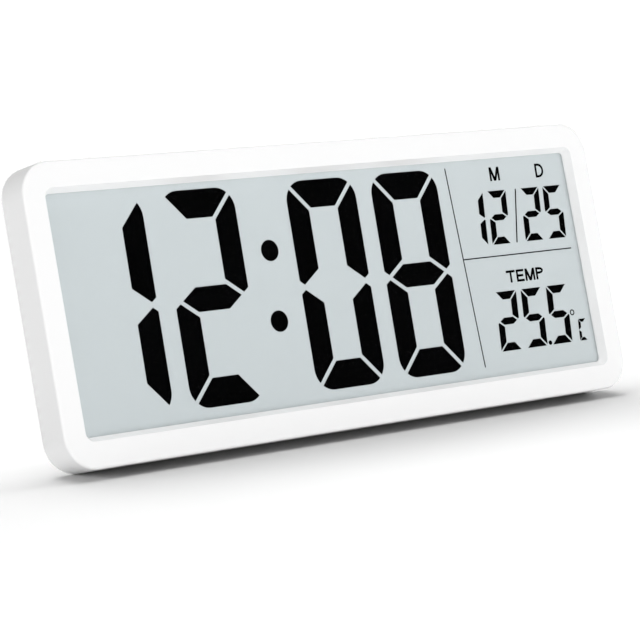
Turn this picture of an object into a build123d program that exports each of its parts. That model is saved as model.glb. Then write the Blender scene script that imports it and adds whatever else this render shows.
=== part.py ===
from build123d import *
import os
from collections import namedtuple
from math import atan, cos, degrees, hypot, radians, sin, sqrt, tan

# Digital wall clock on its easel stand, as separate pieces. Millimetres, +Z up, +X to the right seen
# from the front, +Y to the rear; the clock stands on z = 0, centred in x and y.
# Each piece is first drawn in case coordinates: x across, y depth behind the front plane, z up from the
# middle of the case. The whole is then leaned back and stood on the floor.

# Time digits
TIME_HEIGHT = 105.2
TIME_WIDTH = 44.4
TIME_STROKE = 13.0
TIME_END = 14.0
TIME_BAR = 12.0
TIME_WAIST = -0.6
TIME_GAP = 2.1
TIME_CORNER = 11.0
TIME_SLANT = 0.014
TIME_SPACE = 10.4
TIP_SHARE = 0.64
COLON_SPACE = 32.1
COLON_RADIUS = 5.3
COLON_UPPER = 19.4
COLON_LOWER = 15.6
COLON_LEAN = 0.048

# Date digits
DATE_HEIGHT = 28.4
DATE_WIDTH = 13.3
DATE_STROKE = 3.8
DATE_BAR = 3.3
DATE_GAP = 0.8
DATE_SPACE = 3.1
DATE_RISE = 24.5
SLASH_SPACE = 10.6
SLASH_WIDTH = 0.8
SLASH_LEAN = 0.2

# Temperature digits
TEMP_HEIGHT = 31.2
TEMP_WIDTH = 14.8
TEMP_STROKE = 4.2
TEMP_BAR = 3.7
TEMP_GAP = 0.9
TEMP_SPACE = 3.5
TEMP_INSET = 9.3
TEMP_DROP = 30.2
POINT_RADIUS = 1.2
POINT_SPACE = 1.1
DEGREE_RADIUS = 1.6
DEGREE_HOLE = 1.0
DEGREE_SPACE = 0.6
UNIT_HEIGHT = 11.6
UNIT_WIDTH = 5.5
UNIT_STROKE = 1.7
UNIT_GAP = 0.35
UNIT_SPACE = 5.0
SMALL_SLANT = 0.088
SMALL_CORNER = 0.8

# Display margins and divider lines
LEFT_MARGIN = 8.8
RIGHT_MARGIN = 5.4
TOP_MARGIN = 3.2
BOTTOM_MARGIN = 5.6
DIVIDER_SPACE = 9.9
PANEL_SPACE = 6.9
LINE_WIDTH = 0.6
DIVIDER_LEAN = 0.032
CROSS_RISE = 4.2
CROSS_OVERHANG = 0.8

# Display stack
FILM = 0.1
GLASS = 0.55
CELL_GAP = 0.15
SEGMENT_DEPTH = 0.1
REFLECTOR = 0.3
GLASS_MARGIN = 5.0
GLASS_LEDGE = 3.4
SEAL_WIDTH = 1.2

# Front case
BEZEL_SIDE = 11.9
BEZEL_END = 12.8
BEVEL_WIDTH = 2.3
BEVEL_DEPTH = 4.0
LIP = 0.6
WINDOW_CORNER = 4.6
CASE_CORNER = 16.5
SIDE_DEPTH = 19.5
WALL = 2.2
FRONT_EDGE = 1.2
REAR_EDGE = 0.6
RIM = 1.1
FENCE = 1.2
BOSS_RADIUS = 2.8
BOSS_WEB = 1.2
PILOT_RADIUS = 1.15
PILOT_DEPTH = 9.0

# Rear cover
FLANGE = 2.0
PANEL_RISE = 7.5
PANEL_INSET = 10.5
PANEL_CORNER = 10.0
PANEL_TAPER = 30.0
COVER_WALL = 2.0
PANEL_EDGE = 1.2
CASE_SCREW_INSET = 16.0
KEYHOLE_PITCH = 210.0
KEYHOLE_DROP = 18.0
KEYHOLE_RADIUS = 4.5
KEYHOLE_SLOT = 4.6
KEYHOLE_TRAVEL = 9.0
VENT_COUNT = 5
VENT_PITCH = 3.4
VENT_WIDTH = 1.6
VENT_LENGTH = 14.0

# Display holder
HOLDER_RING = 1.5
HOLDER_PLATE = 1.6
HOLDER_BAR = 9.0
HOLDER_SCREW_PITCH = 200.0
EAR_WIDTH = 8.0

# Circuit board
BOARD = 1.2
BOARD_WIDTH = 220.0
BOARD_HEIGHT = 39.5
BOARD_START = 20.0
BOARD_OVERHANG = 1.3
ZEBRA_LENGTH = 200.0
ZEBRA_WIDTH = 2.0
BOARD_SCREWS = 3
BOARD_SCREW_INSET = 14.0
BLOB_RADIUS = 7.0
BLOB_RISE = 1.8
CRYSTAL_RADIUS = 1.0
CRYSTAL_LENGTH = 6.0
CAPACITORS = 4
CAPACITOR = 1.6
SENSOR_INSET = 4.0
BEAD_RADIUS = 1.3
BEAD_LEG = 0.5
BEAD_RISE = 4.0

# Buttons and their switches
BUTTON_START = 30.0
BUTTON_RISE = 26.0
BUTTON_PITCH = 18.0
BUTTON_RADIUS = 4.5
BUTTON_COLLAR = 5.8
BUTTON_COLLAR_DEPTH = 1.1
BUTTON_STEM = 2.0
BUTTON_TRAVEL = 0.6
BUTTON_PROUD = 0.9
BUTTON_EDGE = 0.4
STRIP_DEPTH = 1.0
STRIP_HEIGHT = 17.0
STRIP_BACKING = 1.4
SWITCH_SIZE = 6.0
SWITCH_RISE = 3.4
PLUNGER_RADIUS = 1.75
PLUNGER_RISE = 7.0
PLUNGER_DEPTH = 0.8

# Battery bay
CELL_RADIUS = 7.25
CELL_LENGTH = 50.5
NUB_RADIUS = 2.7
NUB_LENGTH = 1.3
CELL_SPACE = 0.7
SPRING_LENGTH = 5.1
SPRING_RADIUS = 3.6
SPRING_WIRE = 0.3
SPRING_TURNS = 3
WIRE_SIDES = 4
CONTACT = 0.5
CONTACT_SIZE = 10.0
TAB_WIDTH = 3.0
TAB_LENGTH = 2.0
BAY_WALL = 1.4
BAY_END = 6.2
DOOR = 1.8
DOOR_LAP = 1.6
TONGUE = 1.2
TONGUE_DEPTH = 0.8
DOOR_FRAME = 3.0
GRIP_COUNT = 5
GRIP_PITCH = 2.6
GRIP_WIDTH = 1.2
GRIP_DEPTH = 0.5
GRIP_LENGTH = 18.0
LEAD_RADIUS = 0.7
LEAD_BEND = 5.0

# Stand
LEAN = 16.0
STAND_OPENING = 29.0
HINGE_HEIGHT = 95.0
STAND_WIDTH = 96.0
STAND_FOOT_WIDTH = 84.0
STAND_DEPTH = 4.2
STAND_SKIN = 1.8
STAND_RIM = 2.4
STAND_RIB = 1.6
STUB_RADIUS = 1.8
HEEL = 5.0
HEEL_WIDTH = 60.0
FOOT_DEPTH = 1.6
WELL_WALL = 2.4

# Screws
HEAD_RADIUS = 2.6
HEAD_HEIGHT = 1.4
RECESS_DEPTH = 0.7
SHANK_RADIUS = 1.1
SHANK_LENGTH = 8.0
BOARD_HEAD_RADIUS = 1.9
BOARD_SHANK_RADIUS = 0.75
BOARD_SHANK_LENGTH = 3.4
SCREW_SINK = 1.0
SLOT_WIDTH = 0.6

# Clearances
FIT = 0.3
SLIDE = 0.15
RUNNING = 0.08
HAIR = 0.1
STAND_CLEAR = 0.5

# Display window and case, from the digits outwards
TIME_BLOCK = 4 * TIME_WIDTH + 2 * TIME_SPACE + COLON_SPACE
DATE_BLOCK = 4 * DATE_WIDTH + 2 * DATE_SPACE + SLASH_SPACE
VIEW_WIDTH = LEFT_MARGIN + TIME_BLOCK + DIVIDER_SPACE + PANEL_SPACE + DATE_BLOCK + RIGHT_MARGIN
VIEW_HEIGHT = TOP_MARGIN + TIME_HEIGHT + BOTTOM_MARGIN
CASE_WIDTH = VIEW_WIDTH + 2 * (BEVEL_WIDTH + BEZEL_SIDE)
CASE_HEIGHT = VIEW_HEIGHT + 2 * (BEVEL_WIDTH + BEZEL_END)
VIEW_LEFT = -VIEW_WIDTH / 2
VIEW_BOTTOM = -VIEW_HEIGHT / 2
TIME_LEFT = VIEW_LEFT + LEFT_MARGIN
TIME_MIDDLE = VIEW_BOTTOM + BOTTOM_MARGIN + TIME_HEIGHT / 2
DIVIDER_X = TIME_LEFT + TIME_BLOCK + DIVIDER_SPACE
DATE_LEFT = DIVIDER_X + PANEL_SPACE
DATE_MIDDLE = TIME_MIDDLE + DATE_RISE
TEMP_MIDDLE = TIME_MIDDLE - TEMP_DROP
PANEL_RIGHT = DATE_LEFT + DATE_BLOCK

# Depths behind the front plane
SEAT = BEVEL_DEPTH + LIP
FILM_BACK = SEAT + FILM
FRONT_GLASS_BACK = FILM_BACK + GLASS
CELL_BACK = FRONT_GLASS_BACK + CELL_GAP
REAR_GLASS_BACK = CELL_BACK + GLASS
STACK_BACK = REAR_GLASS_BACK + REFLECTOR
PLATE_FRONT = STACK_BACK + HOLDER_RING
PLATE_BACK = PLATE_FRONT + HOLDER_PLATE
BOARD_BACK = PLATE_BACK + BOARD
FLANGE_FRONT = SIDE_DEPTH - FLANGE
PANEL_BACK = SIDE_DEPTH + PANEL_RISE
PANEL_INSIDE = PANEL_BACK - COVER_WALL

# Display outline and screw rows
GLASS_WIDTH = VIEW_WIDTH + 2 * GLASS_MARGIN
GLASS_HEIGHT = VIEW_HEIGHT + 2 * GLASS_MARGIN
GLASS_BOTTOM = -GLASS_HEIGHT / 2
REAR_GLASS_HEIGHT = GLASS_HEIGHT - GLASS_LEDGE
REAR_GLASS_MIDDLE = GLASS_LEDGE / 2
FENCE_WIDTH = GLASS_WIDTH + 2 * FIT
FENCE_HEIGHT = GLASS_HEIGHT + 2 * FIT
SCREW_ROW = CASE_HEIGHT / 2 - WALL - BOSS_RADIUS - FIT
CASE_SCREW_X = CASE_WIDTH / 2 - CASE_SCREW_INSET
SCREW_ROWS = (-SCREW_ROW, SCREW_ROW)
CASE_SCREW_POINTS = [(x, z) for z in SCREW_ROWS for x in (-CASE_SCREW_X, 0, CASE_SCREW_X)]
HOLDER_SCREW_POINTS = [(x, z) for z in SCREW_ROWS for x in (-HOLDER_SCREW_PITCH / 2, HOLDER_SCREW_PITCH / 2)]

# Raised panel of the rear cover
TAPER_RUN = tan(radians(PANEL_TAPER))
PANEL_WIDTH = CASE_WIDTH - 2 * PANEL_INSET
PANEL_HEIGHT = CASE_HEIGHT - 2 * PANEL_INSET
PANEL_TOP_HALF_WIDTH = PANEL_WIDTH / 2 - PANEL_RISE * TAPER_RUN
PANEL_TOP_HALF_HEIGHT = PANEL_HEIGHT / 2 - PANEL_RISE * TAPER_RUN
HOLLOW_INSET = COVER_WALL / cos(radians(PANEL_TAPER)) - FLANGE * TAPER_RUN
KEYHOLE_Z = PANEL_TOP_HALF_HEIGHT - KEYHOLE_DROP
KEYHOLE_X = (-KEYHOLE_PITCH / 2, KEYHOLE_PITCH / 2)

# Circuit board and buttons
BOARD_LEFT = -GLASS_WIDTH / 2 + BOARD_START
BOARD_MIDDLE = BOARD_LEFT + BOARD_WIDTH / 2
BOARD_RIGHT = BOARD_LEFT + BOARD_WIDTH
BOARD_BOTTOM = GLASS_BOTTOM - BOARD_OVERHANG
BOARD_TOP = BOARD_BOTTOM + BOARD_HEIGHT
ZEBRA_Z = GLASS_BOTTOM + GLASS_LEDGE / 2
BOARD_SCREW_Z = GLASS_BOTTOM + HOLDER_BAR - BOARD_HEAD_RADIUS - FIT
BOARD_SCREW_PITCH = (BOARD_WIDTH - 2 * BOARD_SCREW_INSET) / (BOARD_SCREWS - 1)
BOARD_SCREW_X = [BOARD_LEFT + BOARD_SCREW_INSET + i * BOARD_SCREW_PITCH for i in range(BOARD_SCREWS)]
BUTTON_NAMES = ("set", "plus", "minus", "unit")
BUTTON_Z = BOARD_BOTTOM + BUTTON_RISE
BUTTON_X = [BOARD_LEFT + BUTTON_START + i * BUTTON_PITCH for i in range(len(BUTTON_NAMES))]
STRIP_BACK = PANEL_BACK - STRIP_DEPTH
STRIP_INSIDE = PANEL_INSIDE - STRIP_BACKING
COLLAR_BACK = STRIP_INSIDE - HAIR
PLUNGER_TOP = BOARD_BACK + PLUNGER_RISE
PLUNGER_END = BOARD_BACK + SWITCH_RISE - PLUNGER_DEPTH
SENSOR_X = BOARD_LEFT + SENSOR_INSET
SENSOR_Z = BUTTON_Z

# Battery bay
BAY_RIGHT = PANEL_TOP_HALF_WIDTH - BAY_END
BAY_LENGTH = 2 * CONTACT + CELL_LENGTH + SPRING_LENGTH
BAY_LEFT = BAY_RIGHT - BAY_LENGTH
CELL_Z = CELL_RADIUS + CELL_SPACE / 2
BAY_HALF = CELL_Z + CELL_RADIUS + FIT
DOOR_FRONT = PANEL_BACK - DOOR
LEDGE_BACK = DOOR_FRONT - HAIR
CELL_Y = LEDGE_BACK - 2 * FIT - CELL_RADIUS
BAY_FLOOR = CELL_Y - CELL_RADIUS - HAIR
DOOR_LEFT = BAY_LEFT - DOOR_LAP
DOOR_HALF = BAY_HALF + DOOR_LAP
TAB_Y = BAY_FLOOR + TAB_WIDTH
SPRING_PITCH = (SPRING_LENGTH - 2 * (SPRING_WIRE + HAIR)) / SPRING_TURNS

# Stand, folded flat in its well
STAND_BACK = PANEL_BACK - FIT
HINGE_Y = STAND_BACK - STAND_DEPTH / 2
HINGE_Z = -CASE_HEIGHT / 2 + HINGE_HEIGHT
STAND_FRONT = HINGE_Y - STAND_DEPTH / 2
WELL_FLOOR = HINGE_Y - HEEL * sin(radians(STAND_OPENING)) - STAND_CLEAR
WELL_HALF = STAND_WIDTH / 2 + STAND_CLEAR
WELL_TOP = HINGE_Z + hypot(HEEL, STAND_DEPTH / 2) + STAND_CLEAR

# Lean: the lower wall meets the floor where its rear chamfer starts, and the stand's foot meets it too
UP_Y = -sin(radians(LEAN))
UP_Z = cos(radians(LEAN))
LIFT = CASE_HEIGHT / 2 * UP_Z - (SIDE_DEPTH - REAR_EDGE) * UP_Y
LEANED = Pos(0, 0, LIFT) * Rot(-LEAN, 0, 0)
OPENED = Pos(0, HINGE_Y, HINGE_Z) * Rot(STAND_OPENING, 0, 0) * Pos(0, -HINGE_Y, -HINGE_Z)
HINGE_LIFT = LIFT + HINGE_Y * UP_Y + HINGE_Z * UP_Z
STAND_REACH = HINGE_LIFT / cos(radians(STAND_OPENING - LEAN))


def slab(sketch, front, back):
    """Solid of a sketch drawn in x and z, between two depths behind the front plane."""
    placed_sketch = Plane((0, back, 0), x_dir=(1, 0, 0), z_dir=(0, -1, 0)) * sketch
    return extrude(placed_sketch, back - front, dir=(0, -1, 0))


def narrowing(sketch, front, back, angle):
    """Solid of a sketch that is the same upside down, drawn in by an angle towards the rear."""
    return extrude(Plane((0, front, 0), x_dir=(1, 0, 0), z_dir=(0, 1, 0)) * sketch, back - front, taper=angle)


def block(left, right, front, back, bottom, top):
    """Box between two limits along each axis."""
    middle = Pos((left + right) / 2, (front + back) / 2, (bottom + top) / 2)
    return middle * Box(right - left, back - front, top - bottom)


def rod(x, z, radius, front, back):
    """Cylinder along the depth."""
    return slab(Pos(x, z) * Circle(radius), front, back)


def cross_rod(left, right, y, z, radius):
    """Cylinder along the width."""
    return extrude(Plane((left, y, z), z_dir=(1, 0, 0)) * Circle(radius), right - left)


def frame(outer_width, outer_height, inset, front, back):
    """Flat rectangular ring of one bar width."""
    opening = Rectangle(outer_width - 2 * inset, outer_height - 2 * inset)
    return slab(Rectangle(outer_width, outer_height) - opening, front, back)


# Seven-segment characters: the uprights are a stroke wide, the top and bottom bars an end thick and the
# middle one a bar thick, with its middle at the waist, counted up from half height
LIT = {"0": "abcdef", "1": "bc", "2": "abged", "5": "afgcd", "8": "abcdefg", "C": "afed"}
Style = namedtuple("Style", "width height stroke end bar waist gap corner slant")
TIME_STYLE = Style(
    TIME_WIDTH, TIME_HEIGHT, TIME_STROKE, TIME_END, TIME_BAR, TIME_WAIST, TIME_GAP, TIME_CORNER, TIME_SLANT
)
DATE_STYLE = Style(
    DATE_WIDTH, DATE_HEIGHT, DATE_STROKE, DATE_STROKE, DATE_BAR, 0, DATE_GAP, SMALL_CORNER, SMALL_SLANT
)
TEMP_STYLE = Style(
    TEMP_WIDTH, TEMP_HEIGHT, TEMP_STROKE, TEMP_STROKE, TEMP_BAR, 0, TEMP_GAP, SMALL_CORNER, SMALL_SLANT
)
UNIT_STYLE = Style(
    UNIT_WIDTH, UNIT_HEIGHT, UNIT_STROKE, UNIT_STROKE, UNIT_STROKE, 0, UNIT_GAP, UNIT_GAP, SMALL_SLANT
)


def segment_corners(style):
    """Corner points of the seven segments of a character, upright and counted from its waist."""
    w = style.width / 2
    m = style.bar / 2
    inner = w - style.stroke
    tip = inner + TIP_SHARE * style.stroke
    slope = m / (tip - inner)
    shift = style.gap / sqrt(2)
    low = m + style.gap * hypot(1, slope)
    point = inner + (low + m) / (2 * slope)

    def half(h):
        """End bar and right-hand upright of a half that is h high."""
        end = h - style.end
        bar = [(shift - w, h), (w - shift, h), (inner - shift, end), (shift - inner, end)]
        upright = [
            (w, h - shift),
            (w, slope * style.stroke - m),
            (point, slope * (point - inner) - m),
            (inner, low),
            (inner, end - shift),
        ]
        return bar, upright

    top, upper = half(style.height / 2 - style.waist)
    bottom, lower = half(style.height / 2 + style.waist)
    return {
        "a": top,
        "b": upper,
        "c": [(x, -z) for x, z in lower],
        "d": [(x, -z) for x, z in bottom],
        "e": [(-x, -z) for x, z in lower],
        "f": [(-x, z) for x, z in upper],
        "g": [(-tip, 0), (-inner, m), (inner, m), (tip, 0), (inner, -m), (-inner, -m)],
    }


def characters(text, lefts, middle, style):
    """Sketches of the lit segments of some characters, slanted and with rounded outer corners."""

    def slanted(points, rise):
        return Polygon(*[(x + style.slant * (z + rise), z + rise) for x, z in points], align=None)

    w = style.width / 2
    h = style.height / 2
    outline = slanted([(-w, -h), (w, -h), (w, h), (-w, h)], 0)
    outline = fillet(outline.vertices(), style.corner)
    corners = segment_corners(style)
    sketches = []
    for letter, left in zip(text, lefts):
        for name in LIT[letter]:
            sketches.append(Pos(left + w, middle) * (slanted(corners[name], style.waist) & outline))
    return sketches


def printed(sketches):
    """Thin solids of display sketches, lying on the rear glass."""
    return [slab(sketch, CELL_BACK - SEGMENT_DEPTH, CELL_BACK) for sketch in sketches]


def time_segments():
    second = TIME_LEFT + TIME_WIDTH + TIME_SPACE
    third = second + TIME_WIDTH + COLON_SPACE
    fourth = third + TIME_WIDTH + TIME_SPACE
    sketches = characters("1208", (TIME_LEFT, second, third, fourth), TIME_MIDDLE, TIME_STYLE)
    colon = third - COLON_SPACE / 2
    for rise in (COLON_UPPER, -COLON_LOWER):
        sketches.append(Pos(colon + COLON_LEAN * rise, TIME_MIDDLE + rise) * Circle(COLON_RADIUS))
    return printed(sketches)


def date_segments():
    second = DATE_LEFT + DATE_WIDTH + DATE_SPACE
    third = second + DATE_WIDTH + SLASH_SPACE
    fourth = third + DATE_WIDTH + DATE_SPACE
    return printed(characters("1225", (DATE_LEFT, second, third, fourth), DATE_MIDDLE, DATE_STYLE))


def temperature_segments():
    first = DATE_LEFT + TEMP_INSET
    second = first + TEMP_WIDTH + TEMP_SPACE
    third = second + TEMP_WIDTH + TEMP_SPACE
    sketches = characters("255", (first, second, third), TEMP_MIDDLE, TEMP_STYLE)
    bottom = TEMP_MIDDLE - TEMP_HEIGHT / 2
    point = second + TEMP_WIDTH - SMALL_SLANT * TEMP_HEIGHT / 2 + POINT_SPACE + POINT_RADIUS
    sketches.append(Pos(point, bottom + POINT_RADIUS) * Circle(POINT_RADIUS))
    right = third + TEMP_WIDTH
    ring = Circle(DEGREE_RADIUS) - Circle(DEGREE_HOLE)
    sketches.append(Pos(right + DEGREE_SPACE + DEGREE_RADIUS, TEMP_MIDDLE) * ring)
    sketches += characters("C", (right + UNIT_SPACE,), bottom + UNIT_HEIGHT / 2, UNIT_STYLE)
    return printed(sketches)


def divider_lines():
    rise = TIME_HEIGHT / 2
    half = LINE_WIDTH / 2
    shift = DIVIDER_LEAN * rise
    upright = Polygon(
        (DIVIDER_X - shift - half, TIME_MIDDLE + rise),
        (DIVIDER_X + shift - half, TIME_MIDDLE - rise),
        (DIVIDER_X + shift + half, TIME_MIDDLE - rise),
        (DIVIDER_X - shift + half, TIME_MIDDLE + rise),
        align=None,
    )
    cross_right = PANEL_RIGHT + CROSS_OVERHANG
    level = Pos((DIVIDER_X + cross_right) / 2, TIME_MIDDLE + CROSS_RISE)
    crossing = level * Rectangle(cross_right - DIVIDER_X, LINE_WIDTH)
    slash = DATE_LEFT + DATE_BLOCK / 2
    tilt = SLASH_LEAN * DATE_HEIGHT / 2
    stroke = Polygon(
        (slash - tilt, DATE_MIDDLE - DATE_HEIGHT / 2),
        (slash - tilt + SLASH_WIDTH, DATE_MIDDLE - DATE_HEIGHT / 2),
        (slash + tilt + SLASH_WIDTH, DATE_MIDDLE + DATE_HEIGHT / 2),
        (slash + tilt, DATE_MIDDLE + DATE_HEIGHT / 2),
        align=None,
    )
    return printed([upright + crossing, stroke])


def display_stack():
    """Film, two glasses, seal and reflector, front to back."""
    film_margin = GLASS_MARGIN - SEAL_WIDTH
    rear = Pos(0, REAR_GLASS_MIDDLE) * Rectangle(GLASS_WIDTH, REAR_GLASS_HEIGHT)
    inside = Pos(0, REAR_GLASS_MIDDLE) * Rectangle(
        GLASS_WIDTH - 2 * SEAL_WIDTH, REAR_GLASS_HEIGHT - 2 * SEAL_WIDTH
    )
    film = Rectangle(VIEW_WIDTH + 2 * film_margin, VIEW_HEIGHT + 2 * film_margin)
    return {
        "lcd_front_film": slab(film, SEAT, FILM_BACK),
        "lcd_front_glass": slab(Rectangle(GLASS_WIDTH, GLASS_HEIGHT), FILM_BACK, FRONT_GLASS_BACK),
        "lcd_seal": slab(rear - inside, FRONT_GLASS_BACK, CELL_BACK),
        "lcd_rear_glass": slab(rear, CELL_BACK, REAR_GLASS_BACK),
        "lcd_reflector": slab(rear, REAR_GLASS_BACK, STACK_BACK),
    }


def front_case():
    """White front moulding: bezel, sloped window edge, side walls, display fence and screw bosses."""
    case = slab(RectangleRounded(CASE_WIDTH, CASE_HEIGHT, CASE_CORNER), 0, SIDE_DEPTH)
    case = fillet(case.faces().sort_by(Axis.Y)[0].edges(), FRONT_EDGE)
    case = chamfer(case.faces().sort_by(Axis.Y)[-1].edges(), REAR_EDGE)
    inner_width = CASE_WIDTH - 2 * WALL
    inner_height = CASE_HEIGHT - 2 * WALL
    case -= slab(RectangleRounded(inner_width, inner_height, CASE_CORNER - WALL), WALL, SIDE_DEPTH)
    rim_width = CASE_WIDTH - 2 * RIM
    rim_height = CASE_HEIGHT - 2 * RIM
    case -= slab(RectangleRounded(rim_width, rim_height, CASE_CORNER - RIM), FLANGE_FRONT, SIDE_DEPTH)
    case += slab(Rectangle(FENCE_WIDTH + 2 * FENCE, FENCE_HEIGHT + 2 * FENCE), WALL, SEAT)
    case += frame(FENCE_WIDTH + 2 * FENCE, FENCE_HEIGHT + 2 * FENCE, FENCE, SEAT, PLATE_FRONT - FIT)
    window_width = VIEW_WIDTH + 2 * BEVEL_WIDTH
    window_height = VIEW_HEIGHT + 2 * BEVEL_WIDTH
    slope = degrees(atan(BEVEL_WIDTH / BEVEL_DEPTH))
    case -= narrowing(RectangleRounded(window_width, window_height, WINDOW_CORNER), 0, BEVEL_DEPTH, slope)
    case -= slab(RectangleRounded(VIEW_WIDTH, VIEW_HEIGHT, WINDOW_CORNER - BEVEL_WIDTH), BEVEL_DEPTH, SEAT)
    web_height = CASE_HEIGHT / 2 - WALL - SCREW_ROW
    for points, top in ((CASE_SCREW_POINTS, FLANGE_FRONT), (HOLDER_SCREW_POINTS, PLATE_FRONT)):
        for x, z in points:
            outward = 1 if z > 0 else -1
            web = Pos(x, z + outward * web_height / 2) * Rectangle(BOSS_WEB, web_height)
            case += rod(x, z, BOSS_RADIUS, WALL, top) + slab(web, WALL, PLATE_FRONT - FIT)
    for x, z in CASE_SCREW_POINTS:
        case -= rod(x, z, PILOT_RADIUS, FLANGE_FRONT - PILOT_DEPTH, FLANGE_FRONT)
    for x, z in HOLDER_SCREW_POINTS:
        case -= rod(x, z, PILOT_RADIUS, WALL, PLATE_FRONT)
    return case


def lcd_holder():
    """Frame that presses the display on its seat and carries the board."""
    ring_width = FENCE_WIDTH - 2 * SLIDE
    ring_height = FENCE_HEIGHT - 2 * SLIDE
    holder = frame(ring_width, ring_height, HOLDER_BAR, STACK_BACK, PLATE_BACK)
    ear_reach = SCREW_ROW + BOSS_RADIUS - ring_height / 2 + HOLDER_BAR / 2
    for x, z in HOLDER_SCREW_POINTS:
        outward = 1 if z > 0 else -1
        middle = outward * (SCREW_ROW + BOSS_RADIUS - ear_reach / 2)
        holder += slab(Pos(x, middle) * Rectangle(EAR_WIDTH, ear_reach), PLATE_FRONT, PLATE_BACK)
    for x, z in HOLDER_SCREW_POINTS:
        holder -= rod(x, z, SHANK_RADIUS + SLIDE, PLATE_FRONT, PLATE_BACK)
    slot = Rectangle(ZEBRA_LENGTH + 2 * SLIDE, ZEBRA_WIDTH + 2 * SLIDE)
    holder -= slab(Pos(BOARD_MIDDLE, ZEBRA_Z) * slot, STACK_BACK, PLATE_BACK)
    for x in BOARD_SCREW_X:
        holder -= rod(x, BOARD_SCREW_Z, BOARD_SHANK_RADIUS + HAIR / 2, STACK_BACK, PLATE_BACK)
    return holder


def main_board():
    """Circuit board with its screw holes."""
    middle = Pos(BOARD_MIDDLE, (BOARD_BOTTOM + BOARD_TOP) / 2)
    board = slab(middle * Rectangle(BOARD_WIDTH, BOARD_HEIGHT), PLATE_BACK, BOARD_BACK)
    for x in BOARD_SCREW_X:
        board -= rod(x, BOARD_SCREW_Z, BOARD_SHANK_RADIUS + SLIDE, PLATE_BACK, BOARD_BACK)
    return board


def board_pieces():
    """Connector strip and the small pieces on the back of the board."""
    strip = Pos(BOARD_MIDDLE, ZEBRA_Z) * Rectangle(ZEBRA_LENGTH, ZEBRA_WIDTH)
    ball = (BLOB_RADIUS**2 + BLOB_RISE**2) / (2 * BLOB_RISE)
    blob_z = (BOARD_BOTTOM + BOARD_TOP) / 2
    blob = Pos(BOARD_MIDDLE, BOARD_BACK + BLOB_RISE - ball, blob_z) * Sphere(ball)
    blob &= slab(Pos(BOARD_MIDDLE, blob_z) * Circle(BLOB_RADIUS), BOARD_BACK, BOARD_BACK + BLOB_RISE)
    crystal_left = BOARD_MIDDLE + 2 * BLOB_RADIUS
    crystal = cross_rod(
        crystal_left, crystal_left + CRYSTAL_LENGTH, BOARD_BACK + CRYSTAL_RADIUS, blob_z, CRYSTAL_RADIUS
    )
    chips = []
    for i in range(CAPACITORS):
        x = BOARD_MIDDLE - 2 * BLOB_RADIUS - 2 * CAPACITOR * i
        chip = Pos(x, blob_z) * Rectangle(CAPACITOR, 2 * CAPACITOR)
        chips.append(slab(chip, BOARD_BACK, BOARD_BACK + CAPACITOR))
    bead_front = BOARD_BACK + BEAD_RISE
    bead = rod(SENSOR_X, SENSOR_Z, BEAD_RADIUS, bead_front, bead_front + 2 * BEAD_RADIUS)
    for side in (-BEAD_RADIUS / 2, BEAD_RADIUS / 2):
        leg = Pos(SENSOR_X + side, SENSOR_Z) * Rectangle(BEAD_LEG, BEAD_LEG)
        bead += slab(leg, BOARD_BACK, bead_front)
    return {
        "zebra_connector": slab(strip, FRONT_GLASS_BACK, PLATE_BACK),
        "controller_blob": blob,
        "timing_crystal": crystal,
        "chip_capacitors": chips,
        "thermistor": bead,
    }


def switch_housings():
    """Four push switches, each with the hole that its plunger slides in."""
    housings = []
    for x in BUTTON_X:
        top = BOARD_BACK + SWITCH_RISE
        housing = slab(Pos(x, BUTTON_Z) * Rectangle(SWITCH_SIZE, SWITCH_SIZE), BOARD_BACK, top)
        floor = PLUNGER_END - BUTTON_TRAVEL - FIT
        housings.append(housing - rod(x, BUTTON_Z, PLUNGER_RADIUS + RUNNING, floor, top))
    return housings


def plunger(x):
    return rod(x, BUTTON_Z, PLUNGER_RADIUS, PLUNGER_END, PLUNGER_TOP)


def button(x):
    """Button cap with the collar that keeps it in and the stem down to the switch."""
    cap = rod(x, BUTTON_Z, BUTTON_RADIUS, COLLAR_BACK, STRIP_BACK + BUTTON_PROUD)
    cap = chamfer(cap.faces().sort_by(Axis.Y)[-1].edges(), BUTTON_EDGE)
    cap += rod(x, BUTTON_Z, BUTTON_COLLAR, COLLAR_BACK - BUTTON_COLLAR_DEPTH, COLLAR_BACK)
    return cap + rod(x, BUTTON_Z, BUTTON_STEM, PLUNGER_TOP, COLLAR_BACK)


def raised_panel():
    """Outer form of the rear cover's raised panel."""
    outline = RectangleRounded(PANEL_WIDTH, PANEL_HEIGHT, PANEL_CORNER)
    panel = narrowing(outline, SIDE_DEPTH, PANEL_BACK, PANEL_TAPER)
    return fillet(panel.faces().sort_by(Axis.Y)[-1].edges(), PANEL_EDGE)


def door_space(clearance):
    """Room of the battery door and its tongues, from its inner end to beyond the panel's end."""
    left = DOOR_LEFT - clearance
    right = CASE_WIDTH / 2
    front = DOOR_FRONT - min(clearance, HAIR)
    half = DOOR_HALF + clearance
    tongue_back = DOOR_FRONT + TONGUE_DEPTH + clearance
    lid = block(left, right, front, PANEL_BACK, -half, half)
    return lid + block(left, right, front, tongue_back, -half - TONGUE, half + TONGUE)


def battery_door(panel):
    """Sliding lid that carries on the panel's form, with finger grooves."""
    door = panel & door_space(0)
    middle = (DOOR_LEFT + PANEL_TOP_HALF_WIDTH) / 2
    for i in range(GRIP_COUNT):
        x = middle + (i - (GRIP_COUNT - 1) / 2) * GRIP_PITCH
        groove = Pos(x, 0) * SlotOverall(GRIP_LENGTH, GRIP_WIDTH, rotation=90)
        door -= slab(groove, PANEL_BACK - GRIP_DEPTH, PANEL_BACK)
    return door


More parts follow.
